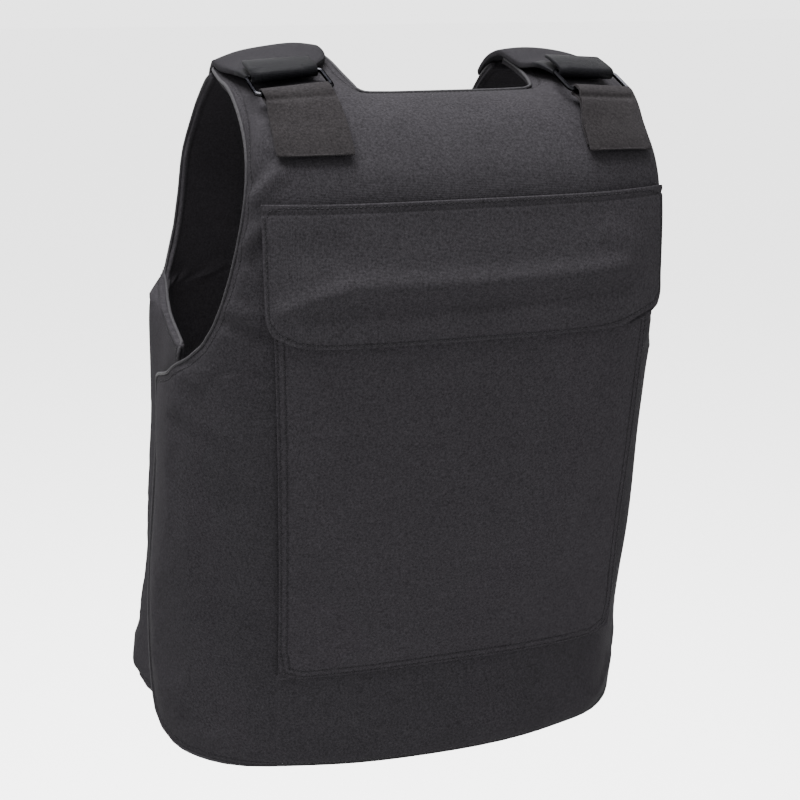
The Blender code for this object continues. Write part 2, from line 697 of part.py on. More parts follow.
def buckle(name, side):
    """A rectangle of round wire with a bar for the tab and a bar for the strap."""
    frame = shoulder_frame(side)
    half_width = BUCKLE_INSIDE / 2 + WIRE / 2
    rise = (UPPER_BAR_LIFT - LOWER_BAR_LIFT) / BUCKLE_PITCH
    outline = []
    for quarter, (sx, sy) in enumerate(((1, 1), (-1, 1), (-1, -1), (1, -1))):
        centre_x = sx * (half_width - WIRE_CORNER)
        centre_y = BUCKLE_PITCH / 2 + sy * (BUCKLE_PITCH / 2 - WIRE_CORNER)
        for turn in steps(quarter * 90.0, quarter * 90.0 + 90.0, WIRE_CORNER_STEPS):
            across = centre_x + WIRE_CORNER * math.cos(math.radians(turn))
            along = centre_y + WIRE_CORNER * math.sin(math.radians(turn))
            point = frame.origin + frame.across * across + frame.along * along
            outline.append(point + frame.up * (LOWER_BAR_LIFT + rise * along))
    curve = bpy.data.curves.new(name, "CURVE")
    curve.dimensions = "3D"
    spline = curve.splines.new("POLY")
    spline.points.add(len(outline) - 1)
    for spline_point, place in zip(spline.points, outline):
        spline_point.co = (*place, 1.0)
    spline.use_cyclic_u = True
    curve.bevel_depth = WIRE / 2
    curve.bevel_resolution = 2
    curve.materials.append(principled(name, **METAL))
    obj = bpy.data.objects.new(name, curve)
    bpy.context.scene.collection.objects.link(obj)
    return obj


def main():
    clear_scene()
    panel("back_panel", near_layer, near_angles, NEAR_LEVELS, NEAR_NECK, NEAR_WING)
    panel("front_panel", far_layer, far_angles, FAR_LEVELS, FAR_NECK, FAR_WING)
    back_pocket()
    pocket_flap()
    for word, side in (("left", -1), ("right", 1)):
        tab(f"{word}_tab", side)
        strap(f"{word}_strap", side)
        buckle(f"{word}_buckle", side)


main()
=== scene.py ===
"""Looks of the padded tactical vest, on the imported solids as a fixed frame.

Metres, +Z up, the back panel with the pocket facing -Y. Each soft solid gets a cover of the same
shape, finely divided, with its folds, seams, piping and stitches. Folds are placed by their X and
height on the back panel, as seen from behind.
"""

import math
from collections import namedtuple
import bmesh
import bpy
import numpy as np
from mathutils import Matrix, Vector, noise
from mathutils.bvhtree import BVHTree
from mathutils.kdtree import KDTree


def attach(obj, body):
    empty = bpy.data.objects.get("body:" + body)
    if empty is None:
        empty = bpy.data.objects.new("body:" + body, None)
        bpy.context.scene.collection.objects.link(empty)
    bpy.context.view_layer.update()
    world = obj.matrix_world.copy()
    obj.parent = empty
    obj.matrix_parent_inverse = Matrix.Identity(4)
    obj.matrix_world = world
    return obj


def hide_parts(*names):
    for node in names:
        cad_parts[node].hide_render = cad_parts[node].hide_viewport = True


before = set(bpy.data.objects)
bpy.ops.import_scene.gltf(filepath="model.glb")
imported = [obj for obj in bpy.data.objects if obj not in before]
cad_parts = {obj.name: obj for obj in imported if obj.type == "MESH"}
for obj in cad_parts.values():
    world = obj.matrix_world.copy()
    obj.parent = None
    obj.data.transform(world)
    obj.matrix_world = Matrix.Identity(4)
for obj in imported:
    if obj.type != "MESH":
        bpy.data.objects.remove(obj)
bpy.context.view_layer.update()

BODY = "root"

# The photograph's camera
CAMERA_AT = Vector((-0.277, -0.972, 0.066))
CAMERA_AZIMUTH = math.radians(-15.3)
CAMERA_ELEVATION = math.radians(18.8)
SENSOR = 36.0
FOCAL_LENGTH = 1288 / 800 * SENSOR

# The torso's axis, from which outward is measured
AXIS_Y = 0.030
AXIS_LOW = -0.50
AXIS_HIGH = -0.12

# How the weave is laid round the torso, and over the shoulders from this level up
TORSO_RADIUS = 0.19
TORSO_HALF_DEPTH = 0.128
SHOULDERS_FROM = -0.090
SHOULDERS_TURN_OVER = 0.050

# The outer face ends at edges that turn by more than this, and rims shorter than this are left out
RIM_TURN = math.radians(32)
RIM_SHORTEST = 0.10
RIM_MARKS = 0.001
OUTSIDE_FACES = 0.2
CORNERS_EASED = 0.2

# Points nearer than this are merged, the ends of a closed line are nearer than this, and triangles are
# joined to quads that turn and skew by less than these
MERGE_NEARER = 1e-5
MEETS_NEARER = 1e-4
QUAD_TURN = math.radians(35)
QUAD_SKEW = math.radians(50)

# How often a cover is divided, and how far its sharp edges stay sharp
PANEL_LEVELS, PANEL_CREASE = 2, 0.55
PATCH_LEVELS, PATCH_CREASE = 3, 0.9
TAB_LEVELS, TAB_CREASE = 3, 0.95
STRAP_LEVELS, STRAP_CREASE = 2, 0.6

# Folds fade out this near to a rim, and nearer on the tabs
SEWN_WITHIN = 0.010
TAB_SEWN_WITHIN = 0.001

# Folds: from one end to the other, how wide, and how far out, or in where negative
Fold = namedtuple("Fold", "x z to_x to_z width rise")
PANEL_FOLDS = (
    Fold(-0.136, -0.040, -0.146, -0.068, 0.0045, 0.0024),
    Fold(-0.150, -0.086, -0.128, -0.066, 0.0045, 0.0032),
    Fold(-0.148, -0.076, -0.132, -0.058, 0.0045, -0.0022),
    Fold(-0.157, -0.118, -0.142, -0.103, 0.0045, 0.0028),
    Fold(-0.150, -0.125, -0.138, -0.110, 0.0050, -0.0022),
    Fold(-0.169, -0.170, -0.140, -0.178, 0.0045, -0.0026),
    Fold(-0.170, -0.160, -0.142, -0.166, 0.0060, 0.0022),
    Fold(-0.193, -0.249, -0.165, -0.258, 0.0060, 0.0012),
    Fold(-0.188, -0.262, -0.160, -0.270, 0.0070, -0.0010),
    Fold(-0.150, -0.330, -0.160, -0.470, 0.0150, 0.0012),
    Fold(-0.120, -0.490, -0.020, -0.500, 0.0120, 0.0015),
    Fold(-0.060, -0.520, 0.110, -0.505, 0.0120, -0.0012),
    Fold(0.150, -0.120, 0.160, -0.200, 0.0080, 0.0012),
    Fold(-0.070, -0.052, 0.080, -0.056, 0.0140, -0.0010),
)
FLAP_FOLDS = (
    Fold(-0.130, -0.157, -0.091, -0.142, 0.0075, 0.0034),
    Fold(-0.079, -0.140, 0.004, -0.141, 0.0080, 0.0036),
    Fold(0.017, -0.141, 0.112, -0.138, 0.0075, 0.0034),
    Fold(-0.110, -0.161, 0.120, -0.155, 0.0075, -0.0026),
    Fold(-0.118, -0.117, -0.094, -0.115, 0.0150, -0.0030),
    Fold(-0.050, -0.108, 0.090, -0.104, 0.0130, -0.0010),
    Fold(0.100, -0.112, 0.128, -0.128, 0.0080, 0.0010),
)
POCKET_FOLDS = (
    Fold(-0.020, -0.440, 0.085, -0.433, 0.0070, 0.0024),
    Fold(-0.110, -0.452, -0.020, -0.450, 0.0060, 0.0012),
    Fold(-0.120, -0.200, -0.126, -0.420, 0.0090, 0.0008),
    Fold(0.122, -0.210, 0.128, -0.400, 0.0090, 0.0008),
    Fold(-0.050, -0.300, 0.060, -0.340, 0.0300, 0.0010),
    Fold(-0.080, -0.230, 0.030, -0.215, 0.0250, -0.0010),
)
# On each tab, a groove below the band that goes over the buckle's lower bar, and the band itself
TAB_FOLDS = {
    "left": (
        Fold(-0.140, -0.0217, -0.076, -0.0195, 0.0015, -0.0012),
        Fold(-0.140, -0.0172, -0.076, -0.0150, 0.0030, 0.0010),
    ),
    "right": (
        Fold(0.082, -0.0227, 0.136, -0.0269, 0.0015, -0.0012),
        Fold(0.082, -0.0182, 0.136, -0.0224, 0.0030, 0.0010),
    ),
}

# The flap's sewn strip along its top, with a groove below it
FLAP_STRIP = 0.0062
FLAP_GROOVE_WIDTH = 0.0011
FLAP_GROOVE_DEPTH = 0.0011

# The tab's folded lower edge
TAB_HEM = 0.0014
TAB_HEM_UP_TO = 0.0042
TAB_HEM_RISE = 0.0009

# Slow swells of a cloth's face: height, and the distance from one to the next
Swell = namedtuple("Swell", "rise spacing seed")
PANEL_SWELL = Swell(0.0011, 0.085, 3.0)
POCKET_SWELL = Swell(0.0007, 0.060, 7.0)
FLAP_SWELL = Swell(0.0006, 0.045, 11.0)
STRAP_SWELL = Swell(0.0004, 0.030, 5.0)

# Sewing: seams lie in a groove at these distances from a rim, and the groove's colour is darkened by a share
# as painted shade
PANEL_SEAMS = (0.0065,)
POCKET_SEAMS = (0.0020, 0.0070)
FLAP_SEAMS = (0.0028,)
SEAM_WIDTH = 0.0008
SEAM_DEPTH = 0.0004
# Share by which painted shade darkens the colour in the middle of a seam groove
SEAM_PAINTED_SHADE = 0.25
STITCH_PITCH = 0.0032
STITCH_LENGTH = 0.0022
STITCH_RADIUS = 0.00030
STITCH_SUNK = 0.00005
STITCH_FLAT = 0.6
STITCH_CROWN = 0.5
PIPING_RADIUS = 0.0013
PIPING_STEP = 0.004
PIPING_SIDES = 8

# The panels' filling: how long it presses, how far it may move the cloth, and where the rims hold the cloth
FILLING_FRAMES = 20
PUCKER_MOST = 0.0012
PUCKERS_FROM_RIM = 0.030
HELD_FROM_RIM = 0.012
LEAST_WEIGHT = 1e-6
FILLING_CLOTH = {
    "quality": 4,
    "mass": 0.2,
    "tension_stiffness": 20,
    "compression_stiffness": 20,
    "shear_stiffness": 5,
    "bending_stiffness": 0.3,
    "shrink_min": -0.02,
    "use_pressure": True,
    "uniform_pressure_force": 4.0,
}

# Bare webbing reaches this far from the buckle's middle, with the way across the strap counted less
WEBBING_REACH = 0.034
ACROSS_STRAP = 0.3

# Noise, and waves, which repeat at this distance where their scale is 1
NOISE_ROUGHNESS = 0.65
COARSE_DETAIL = 4.0
FINE_DETAIL = 3.0
WAVE_PITCH = math.pi / 10
THREADS_WANDER = 1.2

# Cloth: how close its blotches and specks are, how far they and the threads change its tone, and how high
# they are
BLOTCHES = 24.0
SPECKS = 620.0
SPECKS_TONE, SPECKS_DARKEST = 1.9, 0.05
THREADS_TONE, THREADS_DARKEST = 0.5, 0.68
BLOTCHES_HEIGHT = 0.0012
SPECKS_HEIGHT = 0.0003
THREADS_HEIGHT = 0.00012
CLOTH_BUMP = 0.7
SHEEN_ROUGHNESS = 0.45
SHEEN_TINT = (0.85, 0.83, 0.90, 1.0)

# The look of each cloth. The mottle is how far the blotches change its tone.
Look = namedtuple("Look", "color pitch roughness sheen specular mottle seams")
LOOKS = {
    "panel_cloth": Look((0.0085, 0.0080, 0.0089), 0.0009, 0.85, 0.0, 0.005, 0.16, PANEL_SEAMS),
    "pocket_cloth": Look((0.0100, 0.0093, 0.0104), 0.0009, 0.85, 0.0, 0.005, 0.12, POCKET_SEAMS),
    "flap_cloth": Look((0.0098, 0.0092, 0.0102), 0.0009, 0.85, 0.0, 0.005, 0.14, FLAP_SEAMS),
    "strap_cloth": Look((0.0062, 0.0059, 0.0066), 0.0009, 0.85, 0.0, 0.005, 0.10, ()),
    "webbing": Look((0.0024, 0.0024, 0.0028), 0.0016, 0.50, 0.0, 0.012, 0.10, ()),
    "loop_tape": Look((0.0062, 0.0057, 0.0059), 0.0009, 0.95, 0.02, 0.0, 0.25, ()),
    "thread": Look((0.0080, 0.0076, 0.0084), 0.0009, 0.70, 0.0, 0.030, 0.10, ()),
    "piping_cloth": Look((0.0082, 0.0078, 0.0087), 0.0009, 0.70, 0.0, 0.050, 0.10, ()),
}

# The buckles' dark metal, with the strength of its reflections seen edge on
METAL_COLOR = (0.010, 0.010, 0.011)
METAL_ROUGHNESS = 0.26
METAL_EDGE = (0.15, 0.15, 0.15, 1.0)
WEAR = 160.0
WEAR_ROUGHENS = 0.2
WEAR_BUMP = 0.1
WEAR_HEIGHT = 0.0002

# The studio
Lamp = namedtuple("Lamp", "name place size power")
LAMPS = (
    Lamp("top", (-0.3, 0.0, 1.5), 1.3, 300.0),
    Lamp("left", (-1.8, -0.2, 0.5), 1.0, 16.0),
    Lamp("front", (0.2, -2.4, 0.9), 1.6, 5.0),
    Lamp("spark", (-0.5, -1.0, 1.3), 0.12, 6.0),
)
LAMPS_AIM = Vector((0.0, 0.0, -0.25))
WORLD_STRENGTH = 3.0
FLOOR_LEVEL = -1.35
FLOOR_HALF = 30.0
FLOOR_COLOR = (0.95, 0.95, 0.95, 1.0)
FLOOR_ROUGHNESS = 0.9


def make_camera():
    data = bpy.data.cameras.new("camera")
    data.sensor_width = SENSOR
    data.lens = FOCAL_LENGTH
    camera = bpy.data.objects.new("camera", data)
    bpy.context.scene.collection.objects.link(camera)
    camera.rotation_euler = (math.pi / 2 - CAMERA_ELEVATION, 0.0, CAMERA_AZIMUTH)
    camera.location = CAMERA_AT
    bpy.context.scene.camera = camera


# Nodes of a material

def new_material(name):
    material = bpy.data.materials.new(name)
    material.use_nodes = True
    return material, material.node_tree, material.node_tree.nodes["Principled BSDF"]


def add_node(tree, kind, inputs=(), **settings):
    node = tree.nodes.new(kind)
    for key, value in settings.items():
        setattr(node, key, value)
    for key, value in dict(inputs).items():
        if isinstance(value, bpy.types.NodeSocket):
            tree.links.new(value, node.inputs[key])
        else:
            node.inputs[key].default_value = value
    return node


def math_node(tree, operation, first, second=0.0, third=0.0):
    inputs = {0: first, 1: second, 2: third}
    return add_node(tree, "ShaderNodeMath", inputs, operation=operation).outputs[0]


def noise_node(tree, place, scale, detail):
    inputs = {"Vector": place, "Scale": scale, "Detail": detail, "Roughness": NOISE_ROUGHNESS}
    return add_node(tree, "ShaderNodeTexNoise", inputs).outputs["Fac"]


def threads_node(tree, place, pitch):
    """Height of crossing threads."""
    inputs = {"Vector": place, "Scale": WAVE_PITCH / pitch, "Distortion": THREADS_WANDER, "Detail": 1.0}
    waves = []
    for direction in "XY":
        wave = add_node(tree, "ShaderNodeTexWave", inputs, bands_direction=direction)
        waves.append(wave.outputs["Fac"])
    return math_node(tree, "MAXIMUM", *waves)


def groove_node(tree, distance, at, width):
    """1 in the middle of a groove at this distance, falling to 0 beside it."""
    off = math_node(tree, "DIVIDE", math_node(tree, "SUBTRACT", distance, at), width)
    square = math_node(tree, "MULTIPLY", off, off)
    return math_node(tree, "EXPONENT", math_node(tree, "MULTIPLY", square, -1.0))


def darkened(tree, tone, texture, share, darkest):
    """The tone times this share of the texture, above its darkest."""
    return math_node(tree, "MULTIPLY", tone, math_node(tree, "MULTIPLY_ADD", texture, share, darkest))


def cloth(name):
    """Woven cloth: crossing threads, specks, faint blotches, a soft sheen, and grooves where it is sewn,
    darkened with painted shade.
    """
    look = LOOKS[name]
    material, tree, shader = new_material(name)
    place = add_node(tree, "ShaderNodeAttribute", attribute_name="weave").outputs["Vector"]
    rim = add_node(tree, "ShaderNodeAttribute", attribute_name="rim").outputs["Fac"]
    solid = add_node(tree, "ShaderNodeTexCoord").outputs["Object"]
    threads = threads_node(tree, place, look.pitch)
    blotches = noise_node(tree, solid, BLOTCHES, COARSE_DETAIL)
    specks = noise_node(tree, solid, SPECKS, FINE_DETAIL)
    tone = math_node(tree, "MULTIPLY_ADD", blotches, look.mottle * 2, 1.0 - look.mottle)
    tone = darkened(tree, tone, specks, SPECKS_TONE, SPECKS_DARKEST)
    tone = darkened(tree, tone, threads, THREADS_TONE, THREADS_DARKEST)
    height = math_node(tree, "MULTIPLY", threads, THREADS_HEIGHT)
    height = math_node(tree, "MULTIPLY_ADD", blotches, BLOTCHES_HEIGHT, height)
    height = math_node(tree, "MULTIPLY_ADD", specks, SPECKS_HEIGHT, height)
    for seam in look.seams:
        groove = groove_node(tree, rim, seam, SEAM_WIDTH)
        height = math_node(tree, "MULTIPLY_ADD", groove, -SEAM_DEPTH, height)
        # Painted shade: the groove's colour is darkened as if the recess were shaded
        tone = darkened(tree, tone, groove, -SEAM_PAINTED_SHADE, 1.0)
    color = add_node(tree, "ShaderNodeVectorMath", {0: look.color}, operation="SCALE")
    tree.links.new(tone, color.inputs["Scale"])
    tree.links.new(color.outputs["Vector"], shader.inputs["Base Color"])
    bump = add_node(tree, "ShaderNodeBump", {"Strength": CLOTH_BUMP, "Distance": 1.0, "Height": height})
    tree.links.new(bump.outputs["Normal"], shader.inputs["Normal"])
    shader.inputs["Roughness"].default_value = look.roughness
    shader.inputs["Sheen Weight"].default_value = look.sheen
    shader.inputs["Sheen Roughness"].default_value = SHEEN_ROUGHNESS
    shader.inputs["Sheen Tint"].default_value = SHEEN_TINT
    shader.inputs["Specular IOR Level"].default_value = look.specular
    return material


def metal(name):
    """Dark plated wire, a little worn."""
    material, tree, shader = new_material(name)
    solid = add_node(tree, "ShaderNodeTexCoord").outputs["Object"]
    wear = noise_node(tree, solid, WEAR, COARSE_DETAIL)
    roughness = math_node(tree, "MULTIPLY_ADD", wear, WEAR_ROUGHENS, METAL_ROUGHNESS - WEAR_ROUGHENS / 2)
    shader.inputs["Base Color"].default_value = (*METAL_COLOR, 1.0)
    shader.inputs["Metallic"].default_value = 1.0
    shader.inputs["Specular Tint"].default_value = METAL_EDGE
    tree.links.new(roughness, shader.inputs["Roughness"])
    inputs = {"Strength": WEAR_BUMP, "Distance": WEAR_HEIGHT, "Height": wear}
    bump = add_node(tree, "ShaderNodeBump", inputs)
    tree.links.new(bump.outputs["Normal"], shader.inputs["Normal"])
    return material


# Meshes

def linked(name, mesh, *materials):
    mesh.materials.clear()
    for material in materials:
        mesh.materials.append(material)
    obj = bpy.data.objects.new(name, mesh)
    bpy.context.scene.collection.objects.link(obj)
    return obj


def points_of(mesh):
    points = np.empty(len(mesh.vertices) * 3)
    mesh.vertices.foreach_get("co", points)
    return points.reshape(-1, 3)


def set_points(mesh, points):
    mesh.vertices.foreach_set("co", np.ascontiguousarray(points).ravel())
    mesh.update()


def outward_of(points):
    """Directions away from the torso's axis: sideways, and up at the shoulders."""
    away = points - np.array([0.0, AXIS_Y, 0.0])
    away[:, 2] = points[:, 2] - np.clip(points[:, 2], AXIS_LOW, AXIS_HIGH)
    return away / np.linalg.norm(away, axis=1, keepdims=True)


def quads_of(node):
    """The node's mesh with its triangles joined back to quads."""
    bm = bmesh.new()
    bm.from_mesh(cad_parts[node].data)
    bmesh.ops.remove_doubles(bm, verts=bm.verts, dist=MERGE_NEARER)
    limits = {"angle_face_threshold": QUAD_TURN, "angle_shape_threshold": QUAD_SKEW}
    bmesh.ops.join_triangles(bm, faces=bm.faces, **limits)
    mesh = bpy.data.meshes.new(node + "_quads")
    bm.to_mesh(mesh)
    bm.free()
    return mesh


def crease(mesh, amount, webbing_at=None):
    """Keeps the mesh's sharp edges, by this share, when it is divided. Those of webbing stay sharp."""
    bm = bmesh.new()
    bm.from_mesh(mesh)
    layer = bm.edges.layers.float.new("crease_edge")
    for edge in bm.edges:
        if len(edge.link_faces) == 2 and edge.calc_face_angle() > RIM_TURN:
            of_webbing = webbing_at and (edge.verts[0].co - webbing_at).length < WEBBING_REACH
            edge[layer] = 1.0 if of_webbing else amount
    bm.to_mesh(mesh)
    bm.free()


def divided(mesh, levels):
    """A finer, smooth copy of a mesh."""
    holder = bpy.data.objects.new("holder", mesh)
    bpy.context.scene.collection.objects.link(holder)
    modifier = holder.modifiers.new("fine", "SUBSURF")
    modifier.levels = levels
    graph = bpy.context.evaluated_depsgraph_get()
    fine = bpy.data.meshes.new_from_object(holder.evaluated_get(graph))
    bpy.data.objects.remove(holder)
    return fine


def facing_out(face):
    """The face's area, where it faces away from the torso."""
    away = Vector(outward_of(np.array([face.calc_center_median()]))[0])
    return face.normal.dot(away) * face.calc_area()


def outer_face(bm):
    """The faces of the outside, from the one that faces most outward on over edges that aren't sharp."""
    first = max(bm.faces, key=facing_out)
    outer, ahead = {first}, [first]
    while ahead:
        for edge in ahead.pop().edges:
            for face in edge.link_faces:
                if face not in outer and edge.calc_face_angle() < RIM_TURN:
                    outer.add(face)
                    ahead.append(face)
    return outer


def rims_of(mesh):
    """The closed lines of points round a mesh's outer face."""
    bm = bmesh.new()
    bm.from_mesh(mesh)
    outer = outer_face(bm)
    follows = {}
    for edge in bm.edges:
        if sum(face in outer for face in edge.link_faces) == 1:
            a, b = edge.verts[0].index, edge.verts[1].index
            follows.setdefault(a, []).append(b)
            follows.setdefault(b, []).append(a)
    places = [vert.co.copy() for vert in bm.verts]
    bm.free()
    lines = []
    for start in follows:
        line = [start]
        while follows[line[-1]]:
            ahead = follows[line[-1]].pop()
            follows[ahead].remove(line[-1])
            line.append(ahead)
        points = [places[index] for index in line]
        if sum((b - a).length for a, b in zip(points, points[1:])) > RIM_SHORTEST:
            lines.append(points)
    return lines


def evenly(points, step):
    """Points at even steps along a line, with its corners eased."""
    eased = [points[0]]
    for before, here, after in zip(points, points[1:], points[2:]):
        eased.append(here * (1 - 2 * CORNERS_EASED) + (before + after) * CORNERS_EASED)
    eased.append(points[-1])
    gone = [0.0]
    for before, after in zip(eased, eased[1:]):
        gone.append(gone[-1] + (after - before).length)
    count = max(round(gone[-1] / step), 2)
    wanted = np.linspace(0.0, gone[-1], count + 1)
    columns = [np.interp(wanted, gone, [point[axis] for point in eased]) for axis in range(3)]
    return [Vector(place) for place in zip(*columns)]


def store(mesh, name, kind, values):
    attribute = mesh.attributes.new(name, kind, "POINT")
    attribute.data.foreach_set("vector" if kind == "FLOAT_VECTOR" else "value", np.ravel(values))


def lay_weave(mesh):
    """Stores where each point lies in the cloth: along the way round the torso, and up and over it."""
    points = points_of(mesh)
    turn = np.arctan2(points[:, 0], np.abs(AXIS_Y - points[:, 1]))
    on_shoulder = np.clip((points[:, 2] - SHOULDERS_FROM) / SHOULDERS_TURN_OVER, 0.0, 1.0)
    over = (TORSO_HALF_DEPTH - np.abs(points[:, 1])) * on_shoulder
    places = np.stack([turn * TORSO_RADIUS, points[:, 2] + over, turn * 0], axis=1)
    store(mesh, "weave", "FLOAT_VECTOR", places)


def lay_rims(mesh, lines):
    """Stores how far each point is from the nearest rim."""
    marks = [point for line in lines for point in evenly(line, RIM_MARKS)]
    tree = KDTree(len(marks))
    for index, mark in enumerate(marks):
        tree.insert(mark, index)
    tree.balance()
    store(mesh, "rim", "FLOAT", [tree.find(vertex.co)[2] for vertex in mesh.vertices])


# Folds

def fold_rise(points, folds):
    """How far these folds lift each point of the back."""
    rise = np.zeros(len(points))
    for fold in folds:
        start, way = np.array([fold.x, fold.z]), np.array([fold.to_x - fold.x, fold.to_z - fold.z])
        length = np.linalg.norm(way)
        away = points[:, [0, 2]] - start
        along = away @ way / length
        across = (away @ np.array([-way[1], way[0]])) / length
        past_end = np.maximum(np.maximum(-along, along - length), 0.0)
        rise += fold.rise * np.exp(-(across**2 + past_end**2) / fold.width**2)
    return rise * (points[:, 1] < AXIS_Y)


def swell_rise(points, swell):
    values = []
    for point in points:
        place = Vector(point) / swell.spacing + Vector((swell.seed, 0.0, 0.0))
        values.append(noise.noise(place))
    return np.array(values) * swell.rise


def rim_share(mesh, reach):
    """0 at the rims and 1 this far from them."""
    distance = np.empty(len(mesh.vertices))
    mesh.attributes["rim"].data.foreach_get("value", distance)
    share = np.clip(distance / reach, 0.0, 1.0)
    return share * share * (3 - 2 * share)


def lift(mesh, rise, fixed_inside=False):
    """Moves the cloth outward by this much; the inside face stays if it is fixed."""
    points = points_of(mesh)
    away = outward_of(points)
    if fixed_inside:
        normals = np.empty(len(points) * 3)
        mesh.vertex_normals.foreach_get("vector", normals)
        rise = rise * (np.sum(normals.reshape(-1, 3) * away, axis=1) > OUTSIDE_FACES)
    set_points(mesh, points + away * rise[:, None])


def puckers(mesh):
    """How far the filling, pressing on cloth that is sewn down at its rims, moves each point."""
    holder = bpy.data.objects.new("holder", mesh)
    bpy.context.scene.collection.objects.link(holder)
    rims = holder.vertex_groups.new(name="rims")
    for index, share in enumerate(rim_share(mesh, HELD_FROM_RIM)):
        rims.add([index], 1.0 - share, "REPLACE")
    modifier = holder.modifiers.new("filling", "CLOTH")
    settings = modifier.settings
    settings.vertex_group_mass = "rims"
    for key, value in FILLING_CLOTH.items():
        setattr(settings, key, value)
    settings.effector_weights.gravity = 0.0
    modifier.collision_settings.use_collision = False
    modifier.point_cache.frame_start = 1
    modifier.point_cache.frame_end = FILLING_FRAMES
    for number in range(1, FILLING_FRAMES + 1):
        bpy.context.scene.frame_set(number)
    pressed = points_of(holder.evaluated_get(bpy.context.evaluated_depsgraph_get()).data)
    moved = np.sum((pressed - points_of(mesh)) * outward_of(points_of(mesh)), axis=1)
    bpy.context.scene.frame_set(1)
    bpy.data.objects.remove(holder)
    return moved


# Pieces

def fit(piece):
    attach(piece, BODY)
    return piece


def cover(name, node, levels, sharpness, folds, swell, *materials, webbing_at=None, sewn=SEWN_WITHIN):
    """The piece that stands for a soft solid, and its rims. The folds fade where it is sewn."""
    coarse = quads_of(node)
    lines = rims_of(coarse)
    crease(coarse, sharpness, webbing_at)
    mesh = divided(coarse, levels)
    mesh.shade_smooth()
    lay_rims(mesh, lines)
    points = points_of(mesh)
    rise = fold_rise(points, folds)
    if swell:
        rise = rise + swell_rise(points, swell)
    lift(mesh, rise * rim_share(mesh, sewn), fixed_inside=node.endswith("panel"))
    lay_weave(mesh)
    piece = fit(linked(name, mesh, *materials))
    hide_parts(node)
    return piece, lines


def add_tube(bm, points, radius, sides, closed):
    """A round cord along these points."""
    rings = []
    last = len(points) - 1
    normal = Vector((0.0, 0.0, 1.0))
    for index, point in enumerate(points):
        before = points[index - 1] if index or closed else point
        after = points[(index + 1) % len(points)] if index < last or closed else point
        way = (after - before).normalized()
        normal = (normal - way * normal.dot(way)).normalized()
        other = way.cross(normal)
        ring = []
        for side in range(sides):
            turn = 2 * math.pi * side / sides
            ring.append(bm.verts.new(point + (normal * math.cos(turn) + other * math.sin(turn)) * radius))
        rings.append(ring)
    pairs = list(zip(rings, rings[1:]))
    if closed:
        pairs.append((rings[-1], rings[0]))
    for ring, further in pairs:
        for side in range(sides):
            beside = (side + 1) % sides
            bm.faces.new((ring[side], ring[beside], further[beside], further[side]))
    if not closed:
        bm.faces.new(reversed(rings[0]))
        bm.faces.new(rings[-1])


def mesh_of(name, bm):
    bmesh.ops.recalc_face_normals(bm, faces=bm.faces)
    mesh = bpy.data.meshes.new(name)
    bm.to_mesh(mesh)
    bm.free()
    mesh.shade_smooth()
    return mesh


def piping(name, lines, material):
    """Cord sewn into the rims."""
    bm = bmesh.new()
    for line in lines:
        closed = (line[0] - line[-1]).length < MEETS_NEARER
        points = evenly(line, PIPING_STEP)
        if closed:
            points.pop()
        add_tube(bm, points, PIPING_RADIUS, PIPING_SIDES, closed)
    mesh = mesh_of(name, bm)
    lay_weave(mesh)
    return fit(linked(name, mesh, material))


def seam_places(line, inset, surface):
    """Places of stitches along a rim, this far in from it on the cloth, with their ways and normals."""
    rim = evenly(line, STITCH_PITCH)
    found = {}
    for sign in (1, -1):
        places, off = [], 0.0
        for before, here, after in zip(rim, rim[1:], rim[2:]):
            way = (after - before).normalized()
            _, normal, _, _ = surface.find_nearest(here)
            away = Vector(outward_of(np.array([here]))[0])
            across = way.cross(normal + away).normalized()
            place, normal, _, distance = surface.find_nearest(here + across * inset * sign)
            off += distance
            places.append((place, way, normal))
        found[off] = places
    return found[min(found)]


def add_stitch(bm, place, way, normal):
    """A closed, flattened bead of thread, pointed where it goes into the cloth."""
    side = way.cross(normal).normalized() * STITCH_RADIUS
    half = way * STITCH_LENGTH / 2
    top = place + normal * (STITCH_RADIUS - STITCH_SUNK)
    low = place - normal * STITCH_RADIUS
    start, end = bm.verts.new(low - half), bm.verts.new(low + half)
    corners = []
    for share in (-STITCH_FLAT, STITCH_FLAT):
        middle = top + half * share
        crown = middle + normal * STITCH_RADIUS * STITCH_CROWN
        corners.append([bm.verts.new(spot) for spot in (middle + side, crown, middle - side)])
    base = [bm.verts.new(low + half * STITCH_FLAT), bm.verts.new(low - half * STITCH_FLAT)]
    for one in (0, 1):
        bm.faces.new((corners[0][one], corners[1][one], corners[1][one + 1], corners[0][one + 1]))
    for tip, ring, foot in ((start, corners[0], base[1]), (end, corners[1], base[0])):
        loop = [*ring, foot]
        for here, after in zip(loop, loop[1:] + loop[:1]):
            bm.faces.new((tip, here, after))
    bm.faces.new((corners[0][2], corners[1][2], base[0], base[1]))
    bm.faces.new((corners[1][0], corners[0][0], base[1], base[0]))


def stitches(name, piece, lines, seams, slot, material):
    """Thread along these seams of a piece, which follow its rims."""
    corners = [vertex.co for vertex in piece.data.vertices]
    surface = BVHTree.FromPolygons(corners, [tuple(face.vertices) for face in piece.data.polygons])
    bm = bmesh.new()
    for line in lines:
        for seam in seams:
            for place, way, normal in seam_places(line, seam, surface):
                add_stitch(bm, place, way, normal)
    mesh = mesh_of(name, bm)
    lay_weave(mesh)
    return fit(linked(name, mesh, material))


def press_filling(piece):
    """Puckers a padded piece's cloth where its filling presses."""
    mesh = piece.data
    moved = puckers(mesh)
    share = rim_share(mesh, PUCKERS_FROM_RIM)
    moved = moved - np.average(moved, weights=share + LEAST_WEIGHT)
    lift(mesh, np.clip(moved, -PUCKER_MOST, PUCKER_MOST) * share, fixed_inside=True)


def flap_groove(piece):
    """Presses the flap in along its sewn strip."""
    mesh = piece.data
    points = points_of(mesh)
    top = points[:, 2].max()
    below = top - points[:, 2] - FLAP_STRIP
    lift(mesh, -FLAP_GROOVE_DEPTH * np.exp(-((below / FLAP_GROOVE_WIDTH) ** 2)))


